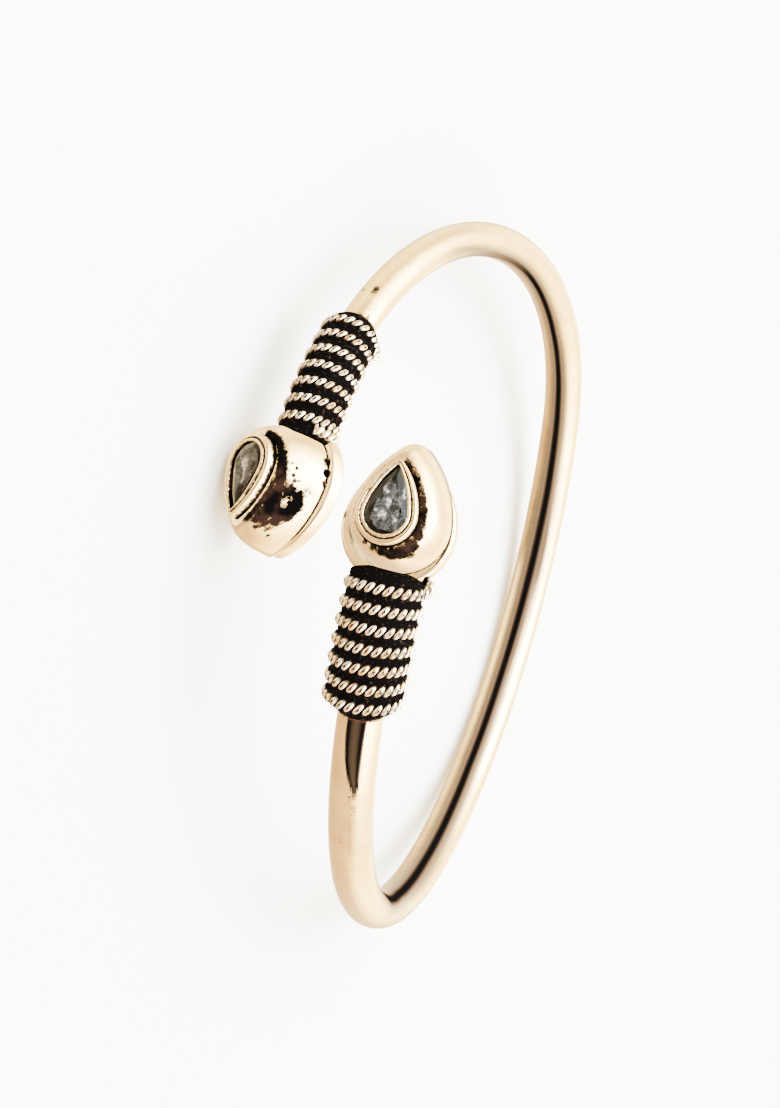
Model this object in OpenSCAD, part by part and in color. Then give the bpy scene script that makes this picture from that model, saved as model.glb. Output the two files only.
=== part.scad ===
// Open bypass bangle of round wire. Each end carries a winding of twisted wire
// over a blackened core, and a pear-shaped domed head with a pear-cut stone.
// The bangle lies on its side. The opening faces -Y, and +Z is up.

/* [Hoop] */
// Radius of the wire's centre line
hoop_r = 33; // [29:0.5:37]
// Width of the wire along the hoop's axis
wire_w = 4.05; // [3.6:0.05:4.4]
// Thickness of the wire across the hoop
wire_t = 3.8; // [3.4:0.05:4.2]
// Share of its size that the wire has lost at the left end
wire_taper = 0.19; // [0.1:0.01:0.25]
// How far the left arm drops, so that the heads pass side by side
left_drop = 10.55; // [10:0.05:13]

/* [Windings] */
// Turns of twisted wire that show on each arm
turns = 7; // [4:1:7]
// Thickness of the right twisted wire
right_rope_d = 1.1; // [0.8:0.05:1.3]
// Thickness of the left twisted wire
left_rope_d = 0.9; // [0.7:0.05:1.1]
// Outer diameter of the right winding
right_winding_d = 7.45; // [7.1:0.05:8]
// Outer diameter of the left winding
left_winding_d = 5.65; // [5.5:0.05:6.2]

/* [Heads] */
// Radius of the base plate's round end
plate_r = 5.05; // [4.8:0.05:5.3]
// From the middle of the round end to the base plate's tip
plate_tip = 6.85; // [6.7:0.05:7.4]
// Thickness of the base plate
plate_t = 1.4; // [1:0.1:1.6]
// Height of a head over its back
head_h = 7; // [6.6:0.1:7.6]

/* [Stones] */
// Radius of the stone's round end
stone_r = 1.95; // [1.9:0.05:2.2]
// From the middle of the round end to the stone's tip
stone_tip = 4.15; // [4.1:0.05:4.4]

/* [Hidden] */

// Pieces that meet keep this gap
gap = 0.05;

// Angles round the hoop are counted from the front towards the right arm
right_wire_end = 6;
left_wire_end = 355.4;
// The left arm drops between these angles from the middle of the back
drop_from = 43.7;
drop_to = 169;
// The wire thins between these angles from the middle of the back
taper_from = 28.6;
taper_to = 160.4;
wire_sides = 20;
wire_step = 5;

// Angle of the turn nearest to the free end, and from turn to turn
right_turn_first = 11.8;
right_turn_step = 2.78;
left_turn_first = 351.1;
left_turn_step = 2.78;
right_turn_last = right_turn_first + (turns - 1) * right_turn_step;
left_turn_last = left_turn_first - (turns - 1) * left_turn_step;
// Where the twisted wire starts and ends, in turns
right_rope_span = [-0.3, turns - 0.75];
left_rope_span = [-0.3, turns - 0.72];
// A turn lies square to the wire in front and steps to the next at the back
turn_ease = 0.75;
rope_sides = 8;
rope_rings = 20;

// Collar between winding and head: angles of its two faces and radius there
right_collar = [9.7, 10.5];
right_collar_r = [3.6, 3.5];
left_collar = [352.9, 352.4];
left_collar_r = [3.2, 2.7];
core_sides = 20;
core_step = 2;
// The core shows this many degrees past the last turn
core_past = 1.3;

// Middle of each head's round end on its back, and its turn about X, Y, Z
right_head_at = [1.37, 3.03 - hoop_r, -0.7];
right_head_turn = [-90.5, 1.5, 178.4];
left_head_at = [-0.24, 2.33 - hoop_r, 0.51 - left_drop];
left_head_turn = [124.1, 1.6, 1.7];
// Points round a head's outline
outline_points = 40;
// How far round its end the outline turns before the flanks start
flank_lean = 10;
stone_lean = 12;
// Radius that rounds the tip of the plate and dome, and of the bezel
tip_round = 1.3;
bezel_round = 0.35;
// Width of the bevel on the plate's edges
plate_edge = 0.15;
// Dome over the base plate, an oval bulge that ends in a flat ledge at this angle
dome_r = 4.45;
dome_tip = 7;
dome_steps = 7;
dome_end = 84;
ledge_r = 3.05;
ledge_tip = 5.3;
ledge_h = 5.95;
// Bezel: collar of metal round the stone, with a bead at its foot and a rounded rim
bezel_r = 2.75;
bezel_tip = 5;
bezel_edge = 0.12;
bead_h = 0.15;
// Seat that carries the stone, and the hollow under it
seat_h = 6.05;
seat_share = 0.9;
hollow_share = 0.45;
hollow_depth = 1.4;
stone_points = 20;

// The bangle lies on the shoulder of the left dome and on the wire at the back.
// It is turned about X and Y for that, and then moved onto the ground.
rest_front = [-0.04, 0.57 - hoop_r, -5.49 - left_drop];
rest_back = [5.4, hoop_r + 0.15, 0.1 - wire_w / 2];
rest_roll = 2.2;
rest_way = rest_back - rest_front;
rest_lean = atan((rest_way[2] - rest_way[0] * tan(rest_roll)) / rest_way[1]);
rest_turn = [-rest_lean, rest_roll, 0];
rest_height = cos(rest_roll) * (rest_front[1] * sin(rest_lean) - rest_front[2] * cos(rest_lean));
rest_move = [0, 2.7, rest_height];

function unit(v) = v / norm(v);
function clip01(t) = min(max(t, 0), 1);
function ease(t) = pow(sin(90 * clip01(t)), 2);

// Centre line of the wire and the three directions at angle a
function drop(a) = -left_drop * ease((a - 180 - drop_from) / (drop_to - drop_from));
function centre(a) = [hoop_r * sin(a), -hoop_r * cos(a), drop(a)];
function along(a) = unit(centre(a + 0.5) - centre(a - 0.5));
function outward(a) = unit(cross(along(a), [0, 0, 1]));
function upward(a) = cross(outward(a), along(a));
function thin(a) = 1 - wire_taper * clip01((a - 180 - taper_from) / (taper_to - taper_from));

// Oval ring of points square to the wire at angle a
function ring(a, r_out, r_up, sides) = [
    for (i = [0:sides - 1])
        centre(a) + r_out * cos(360 * i / sides) * outward(a) + r_up * sin(360 * i / sides) * upward(a)
];
function wire_ring(a, grow, sides) =
    ring(a, wire_t / 2 * thin(a) + grow, wire_w / 2 * thin(a) + grow, sides);

// Closed skin over a list of rings that have the same number of points
module skin(rings) {
    n = len(rings[0]);
    last = len(rings) - 1;
    walls = [
        for (i = [0:last - 1], j = [0:n - 1])
            let (a = i * n + j, b = i * n + (j + 1) % n, c = a + n, d = b + n)
                each [[a, b, c], [b, d, c]]
    ];
    start = [for (j = [n - 1:-1:0]) j];
    end = [for (j = [0:n - 1]) last * n + j];
    polyhedron([for (r = rings) each r], concat([start], walls, [end]));
}

// A pear outline: a round end, two bowed flanks and a rounded tip.
// Each point has its outward direction at angle v, where 0 is the tip's.
function flank(r, tip, lean) =
    (tip * tip + r * r - 2 * tip * r * sin(lean)) / (2 * (r - tip * sin(lean)));
function pear_point(v, r, tip, round, lean) =
    let (
        f = flank(r - round, tip - round, lean),
        middle = [-(f - r + round) * sin(lean), -(f - r + round) * cos(lean)],
        turn = atan2(-middle[1], tip - round - middle[0]),
        face = [cos(v), sin(v)]
    )
    v >= 90 - lean ? r * face
    : v >= turn ? middle + (f + round) * face
    : [tip - round, 0] + round * face;
function pear(r, tip, round, lean, points) = [
    for (i = [0:points - 1])
        let (
            v = 180 - 360 * (i + 0.5) / points,
            p = pear_point(abs(v), r, tip, round, lean)
        )
        [p[0], v < 0 ? -p[1] : p[1]]
];
function pear_ring(h, r, tip, round, lean, points) = [
    for (p = pear(r, tip, round, lean, points)) [p[0], p[1], h]
];

module lying() {
    translate(rest_move) rotate(rest_turn) children();
}

module wire(grow = 0, past = 0) {
    from = right_wire_end - past;
    to = left_wire_end + past;
    rings = ceil((to - from) / wire_step);
    skin([for (i = [0:rings]) wire_ring(from + (to - from) * i / rings, grow, wire_sides)]);
}

// Rows of a head from its back to the ledge, grown by some distance:
// height, round end, tip, rounding of the tip
function body_rows(grow) =
    let (edge = plate_edge, r = plate_r + grow, tip = plate_tip + grow, foot = plate_t + edge)
    concat(
        [
            [-grow, r - edge, tip - edge, tip_round],
            [edge, r, tip, tip_round],
            [plate_t - edge, r, tip, tip_round],
            [plate_t, r - edge, tip - edge, tip_round],
            [plate_t, dome_r - edge + grow, dome_tip - edge + grow, tip_round]
        ],
        [
            for (i = [0:dome_steps])
                let (b = dome_end * i / dome_steps, k = cos(b))
                    [
                        foot + (ledge_h - foot + grow) * sin(b),
                        ledge_r + (dome_r - ledge_r) * k + grow,
                        ledge_tip + (dome_tip - ledge_tip) * k + grow,
                        bezel_round + (tip_round - bezel_round) * k
                    ]
        ]
    );
// Rows up the bezel's outside, over its rim, down to the seat and into the hollow
bezel_rows =
    let (edge = bezel_edge, r = bezel_r, tip = bezel_tip, in_r = stone_r + gap, in_tip = stone_tip + gap)
    [
        [ledge_h - bead_h, r + edge, tip + edge, bezel_round],
        [ledge_h + bead_h, r + edge, tip + edge, bezel_round],
        [ledge_h + bead_h + gap, r, tip, bezel_round],
        [head_h - edge, r, tip, bezel_round],
        [head_h, r - edge, tip - edge, bezel_round],
        [head_h, in_r + edge, in_tip + edge, bezel_round / 2],
        [head_h - edge, in_r, in_tip, bezel_round / 2],
        [seat_h, in_r, in_tip, bezel_round / 2],
        [seat_h, stone_r * seat_share, stone_tip * seat_share, bezel_round / 2],
        [seat_h - hollow_depth, stone_r * hollow_share, stone_tip * hollow_share, gap]
    ];
module head_skin(rows) {
    skin([for (r = rows) pear_ring(r[0], r[1], r[2], r[3], flank_lean, outline_points)]);
}

// Puts a head, its stone or the room that it takes where the arm carries it
module at_right_head() {
    translate(right_head_at) rotate(right_head_turn) children();
}
module at_left_head() {
    translate(left_head_at) rotate(left_head_turn) children();
}

// Plate, dome and bezel are soldered into one, bored for the wire's end
module head_metal() {
    head_skin(concat(body_rows(0), bezel_rows));
}

// Rows of a cut stone from its pavilion over the girdle to the flat table:
// height over the seat, share of the stone's size, rounding of the tip
stone_rows = [
    [-1.15, 0.25, 0.02],
    [-0.35, 0.7, 0.1],
    [0.25, 0.99, 0.15],
    [0.4, 0.99, 0.15],
    [0.85, 0.58, 0.1]
];
module stone() {
    skin([
        for (r = stone_rows)
            pear_ring(seat_h + r[0], stone_r * r[1], stone_tip * r[1], r[2], stone_lean, stone_points)
    ]);
}

// Blackened core under the winding, with a collar that closes it to the head
module core(near, far, r_core, collar, collar_r) {
    way = sign(far - near);
    steps = ceil(abs(far - near) / core_step);
    rings = concat(
        [ring(collar[0], collar_r[0], collar_r[0], core_sides),
            ring(collar[1], collar_r[1], collar_r[1], core_sides)],
        [for (i = [0:steps]) ring(near + (far - near) * i / steps, r_core, r_core, core_sides)]
    );
    difference() {
        skin(way > 0 ? rings : [for (i = [len(rings) - 1:-1:0]) rings[i]]);
        wire(gap, 1);
    }
}

// Twisted wire, as one round strand wound round the arm from turn t0 to t1
function winding_angle(t, first, step) = first + step * (t - turn_ease * sin(360 * t) / (2 * PI));
function winding_point(t, first, step, r) =
    let (a = winding_angle(t, first, step))
        centre(a) + r * cos(360 * t) * outward(a) + r * sin(360 * t) * upward(a);
module winding(t0, t1, first, step, r, rope_d) {
    n = ceil((t1 - t0) * rope_rings);
    d = 0.01;
    skin([
        for (i = [0:n])
            let (
                t = t0 + (t1 - t0) * i / n,
                p = winding_point(t, first, step, r),
                way = unit(winding_point(t + d, first, step, r) - winding_point(t - d, first, step, r)),
                side = unit(cross(way, p - centre(winding_angle(t, first, step)))),
                up = cross(side, way)
            )
            [for (j = [0:rope_sides - 1])
                p + rope_d / 2 * (cos(360 * j / rope_sides) * side + sin(360 * j / rope_sides) * up)]
    ]);
}

// Colours of the warm metal, the blackened metal and the stones
metal = [0.86, 0.78, 0.66];
black = [0.12, 0.11, 0.11];
clear = [0.72, 0.73, 0.76];

module hoop_wire() {
    color(metal) lying() wire();
}
module right_core() {
    color(black) lying() difference() {
        core(right_collar[1], right_turn_last + core_past,
            right_winding_d / 2 - right_rope_d - gap, right_collar, right_collar_r);
        at_right_head() head_skin(body_rows(gap));
    }
}
module left_core() {
    color(black) lying() difference() {
        core(left_collar[1], left_turn_last - core_past,
            left_winding_d / 2 - left_rope_d - gap, left_collar, left_collar_r);
        at_left_head() head_skin(body_rows(gap));
    }
}
module right_rope() {
    color(metal) lying() difference() {
        winding(right_rope_span[0], right_rope_span[1], right_turn_last, -right_turn_step,
            (right_winding_d - right_rope_d) / 2, right_rope_d);
        at_right_head() head_skin(body_rows(gap));
    }
}
module left_rope() {
    color(metal) lying() difference() {
        winding(left_rope_span[0], left_rope_span[1], left_turn_first, -left_turn_step,
            (left_winding_d - left_rope_d) / 2, left_rope_d);
        at_left_head() head_skin(body_rows(gap));
    }
}
module right_head() {
    color(metal) lying() difference() {
        at_right_head() head_metal();
        wire(gap);
    }
}
module left_head() {
    color(metal) lying() difference() {
        at_left_head() head_metal();
        wire(gap);
    }
}
module right_stone() {
    color(clear) lying() at_right_head() stone();
}
module left_stone() {
    color(clear) lying() at_left_head() stone();
}

hoop_wire();
right_core();
left_core();
right_rope();
left_rope();
right_head();
left_head();
right_stone();
left_stone();
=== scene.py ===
# %% [markdown]
# Stone-set bypass bangle
#
# The real object is a springy bangle of round metal wire. Its two ends pass each other at the
# front. Each end carries a winding of twisted wire over a blackened core, and a pear-shaped
# domed head with a pear-cut stone in a bezel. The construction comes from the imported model,
# which is loaded first. The cells after it replace the plain solids by finished metalwork.

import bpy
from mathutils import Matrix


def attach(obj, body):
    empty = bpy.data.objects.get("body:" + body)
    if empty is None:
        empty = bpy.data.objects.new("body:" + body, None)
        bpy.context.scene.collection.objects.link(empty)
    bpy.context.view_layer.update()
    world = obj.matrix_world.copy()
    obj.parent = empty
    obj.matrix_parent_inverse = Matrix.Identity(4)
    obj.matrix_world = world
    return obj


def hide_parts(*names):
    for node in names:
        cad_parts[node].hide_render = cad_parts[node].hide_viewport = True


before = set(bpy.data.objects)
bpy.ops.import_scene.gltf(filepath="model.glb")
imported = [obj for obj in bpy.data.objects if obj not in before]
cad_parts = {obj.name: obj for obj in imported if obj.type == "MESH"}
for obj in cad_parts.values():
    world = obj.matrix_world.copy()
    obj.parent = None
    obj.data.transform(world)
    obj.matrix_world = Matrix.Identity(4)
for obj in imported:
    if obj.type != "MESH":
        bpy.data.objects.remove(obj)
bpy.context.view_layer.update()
print("frame:", sorted(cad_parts))

# %% Modules and units
import math
from collections import namedtuple

import bmesh
import bpy
from mathutils import Euler, Matrix, Vector

mm = 0.001


def degrees(*angles):
    """Angles in degrees as the radians that Blender reads."""
    return tuple(math.radians(a) for a in angles)


def placing(place, turns):
    """The matrix of three turns in degrees, followed by a move in millimetres."""
    return Matrix.Translation(Vector(place) * mm) @ Euler(degrees(*turns)).to_matrix().to_4x4()


print("one millimetre is", mm, "of Blender's units")

# %% [markdown]
# The camera comes first, because every finish below is judged through it. The photograph was
# taken with a long lens from the front and a little above, and the camera lies on its side, so
# that the bangle, which rests on the floor here, stands upright in the frame. A camera can be
# placed by two points and a roll. That is easier to read than three Euler angles.

# %% Camera
aim = Vector((-0.8, -0.9, 1.7)) * mm
camera_distance = 240 * mm
camera_azimuth, camera_elevation, camera_roll = degrees(9.8, 25.06, 100.26)
photo_lens = 79.4


def from_front(azimuth, elevation):
    """Direction by its angle from the front, counted to the right, and its angle upwards."""
    return Vector((
        math.sin(azimuth) * math.cos(elevation),
        -math.cos(azimuth) * math.cos(elevation),
        math.sin(elevation),
    ))


back = from_front(camera_azimuth, camera_elevation)
upright = (-back).to_track_quat("-Z", "Y").to_matrix()
turned = upright @ Matrix.Rotation(camera_roll, 3, "Z")
bpy.ops.object.camera_add(location=aim + back * camera_distance, rotation=turned.to_euler())
camera = bpy.context.object
camera.data.lens = photo_lens
camera.data.clip_start = 10 * mm
bpy.context.scene.camera = camera
print("camera at", [round(c / mm) for c in camera.location], "mm")

# %% [markdown]
# The hoop's own frame. Before it was laid down, the hoop stood in the XY plane round the
# origin, and an angle counted from the front names a place along its wire. Each arm's pieces
# are modelled there and then laid down with one matrix, so the sums stay simple. The left arm
# drops on its way to the front, because the two heads lie side by side. The wire begins inside
# the right core, because nothing of it shows between that core and its head.

# %% The wire's centre line
hoop_r = 33 * mm
wire_w, wire_t, wire_taper = 4.05 * mm, 3.8 * mm, 0.19
wire_from, wire_to = 10.2, 355.4
left_drop = 10.55 * mm
drop_from, drop_to = 223.7, 349
taper_from, taper_to = 208.6, 340.4
half_step = 0.5
lying = placing((0, 2.7, 8.957), (-11.97, 2.2, 0))


def share(value, low, high):
    """How far a value is from low to high, kept between 0 and 1."""
    return min(max((value - low) / (high - low), 0.0), 1.0)


def centre(a):
    """Point on the wire's centre line at angle a, in the hoop's own frame."""
    fall = math.sin(math.pi / 2 * share(a, drop_from, drop_to)) ** 2
    turn = math.radians(a)
    return Vector((hoop_r * math.sin(turn), -hoop_r * math.cos(turn), -left_drop * fall))


def thickness_share(a):
    """The wire's size at angle a as a share of its size at the right end."""
    return 1 - wire_taper * share(a, taper_from, taper_to)


def directions(a):
    """Outward and upward directions square to the wire at angle a."""
    along = (centre(a + half_step) - centre(a - half_step)).normalized()
    outward = along.cross(Vector((0, 0, 1))).normalized()
    return outward, outward.cross(along)


print("wire from", wire_from, "to", wire_to, "degrees")

# %% [markdown]
# Small helpers that the modelling cells share. An operator acts on whatever is selected, so
# every piece starts from an empty selection. A long piece is modelled straight along X and bent
# by a Curve modifier along a path, as a smith bends a straight wire round a mandrel.

# %% Helpers for modelling
def nothing_selected():
    """Object mode with an empty selection."""
    if bpy.context.object and bpy.context.object.mode != "OBJECT":
        bpy.ops.object.mode_set(mode="OBJECT")
    bpy.ops.object.select_all(action="DESELECT")


def edit_all():
    """Edit mode with the whole piece selected."""
    bpy.ops.object.mode_set(mode="EDIT")
    bpy.ops.mesh.select_all(action="SELECT")


def turn_faces_out():
    """Points every face outwards and leaves edit mode."""
    bpy.ops.mesh.select_all(action="SELECT")
    bpy.ops.mesh.normals_make_consistent(inside=False)
    bpy.ops.object.mode_set(mode="OBJECT")


def apply_place():
    """Leaves the selected piece's place, turn and size in its mesh."""
    bpy.ops.object.transform_apply(location=True, rotation=True, scale=True)


def apply_modifiers(piece):
    for modifier in list(piece.modifiers):
        bpy.ops.object.modifier_apply(modifier=modifier.name)


def lay_down(piece, place):
    """Moves a piece from its own frame to its place."""
    piece.matrix_world = place @ piece.matrix_world
    apply_place()


def spaced(first, last, steps):
    """Numbers at even steps from first to last."""
    return [first + (last - first) * i / steps for i in range(steps + 1)]


def length_of(points):
    return sum((b - a).length for a, b in zip(points, points[1:]))


def smooth_path(points, sizes=None):
    """A smooth curve along points, for a Curve modifier. Sizes scale what follows it."""
    line = bpy.data.curves.new("path", "CURVE")
    line.dimensions = "3D"
    line.twist_mode = "Z_UP" if sizes else "MINIMUM"
    line.resolution_u = 4
    spline = line.splines.new("NURBS")
    spline.points.add(len(points) - 1)
    for i, point in enumerate(points):
        spline.points[i].co = (*point, 1)
        spline.points[i].radius = sizes[i] if sizes else 1
    spline.order_u = 4
    spline.use_endpoint_u = True
    path = bpy.data.objects.new("path", line)
    bpy.context.scene.collection.objects.link(path)
    return path


def bend_along(piece, points, sizes=None):
    """Bends a piece that is modelled along X along points, then clears the path away."""
    path = smooth_path(points, sizes)
    modifier = piece.modifiers.new("bend", "CURVE")
    modifier.object = path
    modifier.deform_axis = "POS_X"
    apply_modifiers(piece)
    bpy.data.objects.remove(path)


def mark_points(piece, name, values):
    """Stores a number for every point of a piece, which a material can read by name."""
    layer = piece.data.attributes.new(name, "FLOAT", "POINT")
    layer.data.foreach_set("value", values)


def finish_piece(piece, name, material, slot, *nodes):
    """Names a piece, gives it its finish, and lets it ride in place of the plain nodes.

    The photograph's metal mirrors only the room and never its neighbours, so no piece shows in
    another one's reflection.
    """
    piece.visible_glossy = False
    piece.name = name
    piece.data.name = name
    piece.data.materials.clear()
    piece.data.materials.append(material)
    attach(piece, "root")
    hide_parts(*nodes)
    piece.data.calc_loop_triangles()
    print(name, "has", len(piece.data.loop_triangles), "triangles")


print("helpers for modelling ready")

# %% [markdown]
# Shader maths reads best as plain expressions. A Signal wraps a node's output socket, and each
# sum or product of signals adds one Math node. A Paint holds one material, or the sky, and adds
# any other node by its type, its settings and its inputs.

# %% Shader maths
class Signal:
    """A socket that can be added, multiplied and compared like a number."""

    def __init__(self, paint, socket):
        self.paint, self.socket = paint, socket

    def maths(self, operation, *numbers):
        return self.paint.node("ShaderNodeMath", {"operation": operation}, dict(enumerate(numbers)))

    def __add__(self, other):
        return self.maths("ADD", self, other)

    __radd__ = __add__

    def __mul__(self, other):
        return self.maths("MULTIPLY", self, other)

    __rmul__ = __mul__

    def __sub__(self, other):
        return self.maths("SUBTRACT", self, other)

    def __rsub__(self, other):
        return self.maths("SUBTRACT", other, self)

    def __truediv__(self, other):
        return self.maths("DIVIDE", self, other)

    def root(self):
        return self.maths("SQRT", self)

    def most(self, other):
        """The larger of the two."""
        return self.maths("MAXIMUM", self, other)

    def step(self, low, high):
        """0 below low and 1 above high, with a smooth rise between."""
        settings = {"interpolation_type": "SMOOTHSTEP"}
        return self.paint.node(
            "ShaderNodeMapRange", settings, {"Value": self, "From Min": low, "From Max": high}
        )


class Paint:
    """The nodes of one material or sky, and the shader that they feed."""

    def __init__(self, owner, shader="Principled BSDF"):
        owner.use_nodes = True
        self.owner = owner
        self.tree = owner.node_tree
        self.shader = self.tree.nodes[shader]

    def plug(self, target, value):
        if isinstance(value, Signal):
            self.tree.links.new(value.socket, target)
        else:
            target.default_value = value

    def node(self, kind, settings, inputs, output=0):
        """Any node: its settings are set first, then its inputs as values or signals."""
        made = self.tree.nodes.new(kind)
        for key, value in settings.items():
            setattr(made, key, value)
        for key, value in inputs.items():
            self.plug(made.inputs[key], value)
        return Signal(self, made.outputs[output])

    def ramp(self, value, stops):
        """Colours along a value. Each stop is a place and a colour."""
        made = self.node("ShaderNodeValToRGB", {}, {0: value})
        elements = made.socket.node.color_ramp.elements
        while len(elements) < len(stops):
            elements.new(1.0)
        for element, (place, colour) in zip(elements, stops):
            element.position, element.color = place, (*colour, 1)
        return made

    def place(self):
        return self.node("ShaderNodeTexCoord", {}, {}, "Object")

    def parts(self, vector):
        """The X, Y and Z of a vector."""
        split = self.node("ShaderNodeSeparateXYZ", {}, {0: vector}).socket.node
        return [Signal(self, output) for output in split.outputs]

    def stored(self, name, output="Fac"):
        """What every point of the piece carries under a name."""
        settings = {"attribute_type": "GEOMETRY", "attribute_name": name}
        return self.node("ShaderNodeAttribute", settings, {}, output)

    def noise(self, size, detail=3.0, roughness=0.6, at=None):
        """Cloudy noise from 0 to 1, whose lumps measure about size."""
        inputs = {
            "Vector": at or self.place(), "Scale": 1 / size, "Detail": detail, "Roughness": roughness,
        }
        return self.node("ShaderNodeTexNoise", {}, inputs)

    def blend(self, mask, first, second):
        """Mixes two colours by a mask."""
        settings = {"data_type": "RGBA", "clamp_factor": True}
        return self.node("ShaderNodeMix", settings, {0: mask, 6: first, 7: second}, 2)

    def bump(self, height):
        return self.node("ShaderNodeBump", {}, {"Distance": 1.0, "Height": height})

    def finish(self, **sockets):
        """Sets the shader's own sockets, named with _ for a space."""
        for key, value in sockets.items():
            name = key.replace("_", " ").title().replace("Ior", "IOR")
            self.plug(self.shader.inputs[name], value)
        return self.owner


print("signals and paints ready")

# %% [markdown]
# The metal is a pale warm alloy, polished where hands reach and blackened where they don't.
# A jeweller dips the whole piece in a blackening bath and polishes it back, so the black stays
# in seams and beside raised edges with a ragged border. One recipe serves the hoop, the heads
# and the twisted wires: each point carries a number named soot, and noise breaks its border up.
# On the twisted wires the same number also carries a painted dark reflection along each
# strand's crest, and on the heads painted shade on the wall round the stone. Where soot is
# light, a red-brown film stains the metal instead. A second number, streak, which only the hoop
# carries, darkens the metal softly: up to a half it greys it, and from there on it turns black.
# Along the hoop's inside the streak is part tarnish and part painted reflection of a dark part
# of the room. Black parts reflect next to nothing, so the shader's specular level is nought and
# only the metallic part shines.

# %% Metal finishes
champagne = (0.89, 0.68, 0.29, 1)
pale_champagne = (0.98, 0.89, 0.74, 1)
rose = (0.80, 0.51, 0.23, 1)
# Black for blackening and soot, also used for painted shade on the stones' rims and for painted dark
# reflection on the hoop.
soot_shade_and_reflection_black = (0.0012, 0.0010, 0.0010, 1)
worn_black = (0.011, 0.0058, 0.0042, 1)
brown_film = (0.034, 0.014, 0.008, 1)
tarnish_and_reflection_grey = (0.105, 0.066, 0.038, 1)
lump_size, grain_size, crumb_size = 2.2 * mm, 0.3 * mm, 0.11 * mm

# Each pair tells where a layer begins and where it is full, on the noise or number behind it
rose_clouds, worn_clouds = (0.75, 1.25), (0.45, 0.65)
speck_crumbs, speck_clouds, speck_strength = (0.57, 0.72), (0.42, 0.6), 0.5
grey_streak, dull_streak, black_streak = (0.0, 0.5), (0.25, 0.7), (0.4, 1.0)
film_soot, black_soot = (0.24, 0.45), (0.47, 0.53)
grain_haze, film_haze, black_haze = 0.08, 0.1, 0.3
grain_relief, black_depth, scratch_depth = 0.15, 0.01 * mm, 0.001 * mm
scratch_scale = (400, 2600, 900)


def aged_metal(name, tint, polish, dents, ragged):
    """Warm polished metal with blackening where a piece's soot is above a half."""
    paint = Paint(bpy.data.materials.new(name))
    lumps = paint.noise(lump_size)
    grain = paint.noise(grain_size)
    crumbs = paint.noise(crumb_size, 2.0, 0.5)
    streak = paint.stored("streak")
    stain = paint.stored("soot") + (grain - 0.5) * (2 * ragged) + (crumbs - 0.5) * ragged
    black = stain.step(*black_soot)
    film = stain.step(*film_soot) * (1 - black)
    specks = crumbs.step(*speck_crumbs) * lumps.step(*speck_clouds) * speck_strength
    tone = paint.blend((lumps + grain).step(*rose_clouds), tint, rose)
    tone = paint.blend(specks, tone, brown_film)
    # The streak's grey and then black: part tarnish, part painted dark reflection.
    tone = paint.blend(streak.step(*grey_streak), tone, tarnish_and_reflection_grey)
    tone = paint.blend(streak.step(*black_streak), tone, soot_shade_and_reflection_black)
    tone = paint.blend(film, tone, brown_film)
    crust = paint.blend(lumps.step(*worn_clouds), soot_shade_and_reflection_black, worn_black)
    stretched = paint.node("ShaderNodeMapping", {}, {"Vector": paint.place(), "Scale": scratch_scale})
    scratches = paint.noise(1, at=stretched) * scratch_depth
    relief = (lumps + grain * grain_relief) * dents + scratches - black * black_depth
    return paint.finish(
        base_color=paint.blend(black, tone, crust),
        metallic=(1 - black) * (1 - streak.step(*dull_streak)),
        roughness=polish + grain * grain_haze + film * film_haze + black * black_haze,
        specular_ior_level=0.0,
        normal=paint.bump(relief),
    )


head_metal = aged_metal("antiqued_head_metal", champagne, polish=0.05, dents=0.026 * mm, ragged=0.4)
wire_metal = aged_metal("polished_wire_metal", champagne, polish=0.05, dents=0.012 * mm, ragged=0.3)
rope_metal = aged_metal("antiqued_rope_metal", pale_champagne, polish=0.06, dents=0.0, ragged=0.1)
print("three metal finishes")

# %% [markdown]
# The hoop is one round wire, a little wider than thick, that thins towards the left end. It is
# modelled as a straight rod and bent along its centre line. The path's point radius carries the
# taper, so the rod itself stays a plain cylinder with many rings. The blackened core under each
# winding is a rod of the same kind, and there the point radius draws the collar at the head and
# the thin end that runs out on the wire.

# %% Rods bent along the arm
lengthwise = 0.9


def ringed_rod(radius, length, sides, *cuts):
    """A straight rod along X, with its long edges cut several times over."""
    nothing_selected()
    bpy.ops.mesh.primitive_cylinder_add(
        vertices=sides, radius=radius, depth=length,
        location=(length / 2, 0, 0), rotation=degrees(0, 90, 0),
    )
    rod = bpy.context.object
    apply_place()
    bpy.ops.object.mode_set(mode="EDIT")
    bpy.ops.mesh.select_mode(type="EDGE")
    for cut in cuts:
        bpy.ops.mesh.select_all(action="DESELECT")
        shape = bmesh.from_edit_mesh(rod.data)
        for edge in shape.edges:
            run = edge.verts[1].co - edge.verts[0].co
            edge.select_set(abs(run.x) > lengthwise * run.length)
        bmesh.update_edit_mesh(rod.data)
        bpy.ops.mesh.subdivide(number_cuts=cut)
    bpy.ops.object.mode_set(mode="OBJECT")
    return rod


def table_value(x, table):
    """Reads a table of (x, value) pairs, with straight lines between its rows."""
    for (x0, v0), (x1, v1) in zip(table, table[1:]):
        if x <= x1:
            return v0 + (v1 - v0) * share(x, x0, x1)
    return table[-1][1]


def arm_place(co):
    """A point's angle round the hoop, and its turn round the wire: 0 outward and 90 upward."""
    a = math.degrees(math.atan2(co.x, -co.y)) % 360
    outward, upward = directions(a)
    away = co - centre(a)
    return a, math.degrees(math.atan2(away.dot(upward), away.dot(outward)))


print("rods ready")
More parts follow.
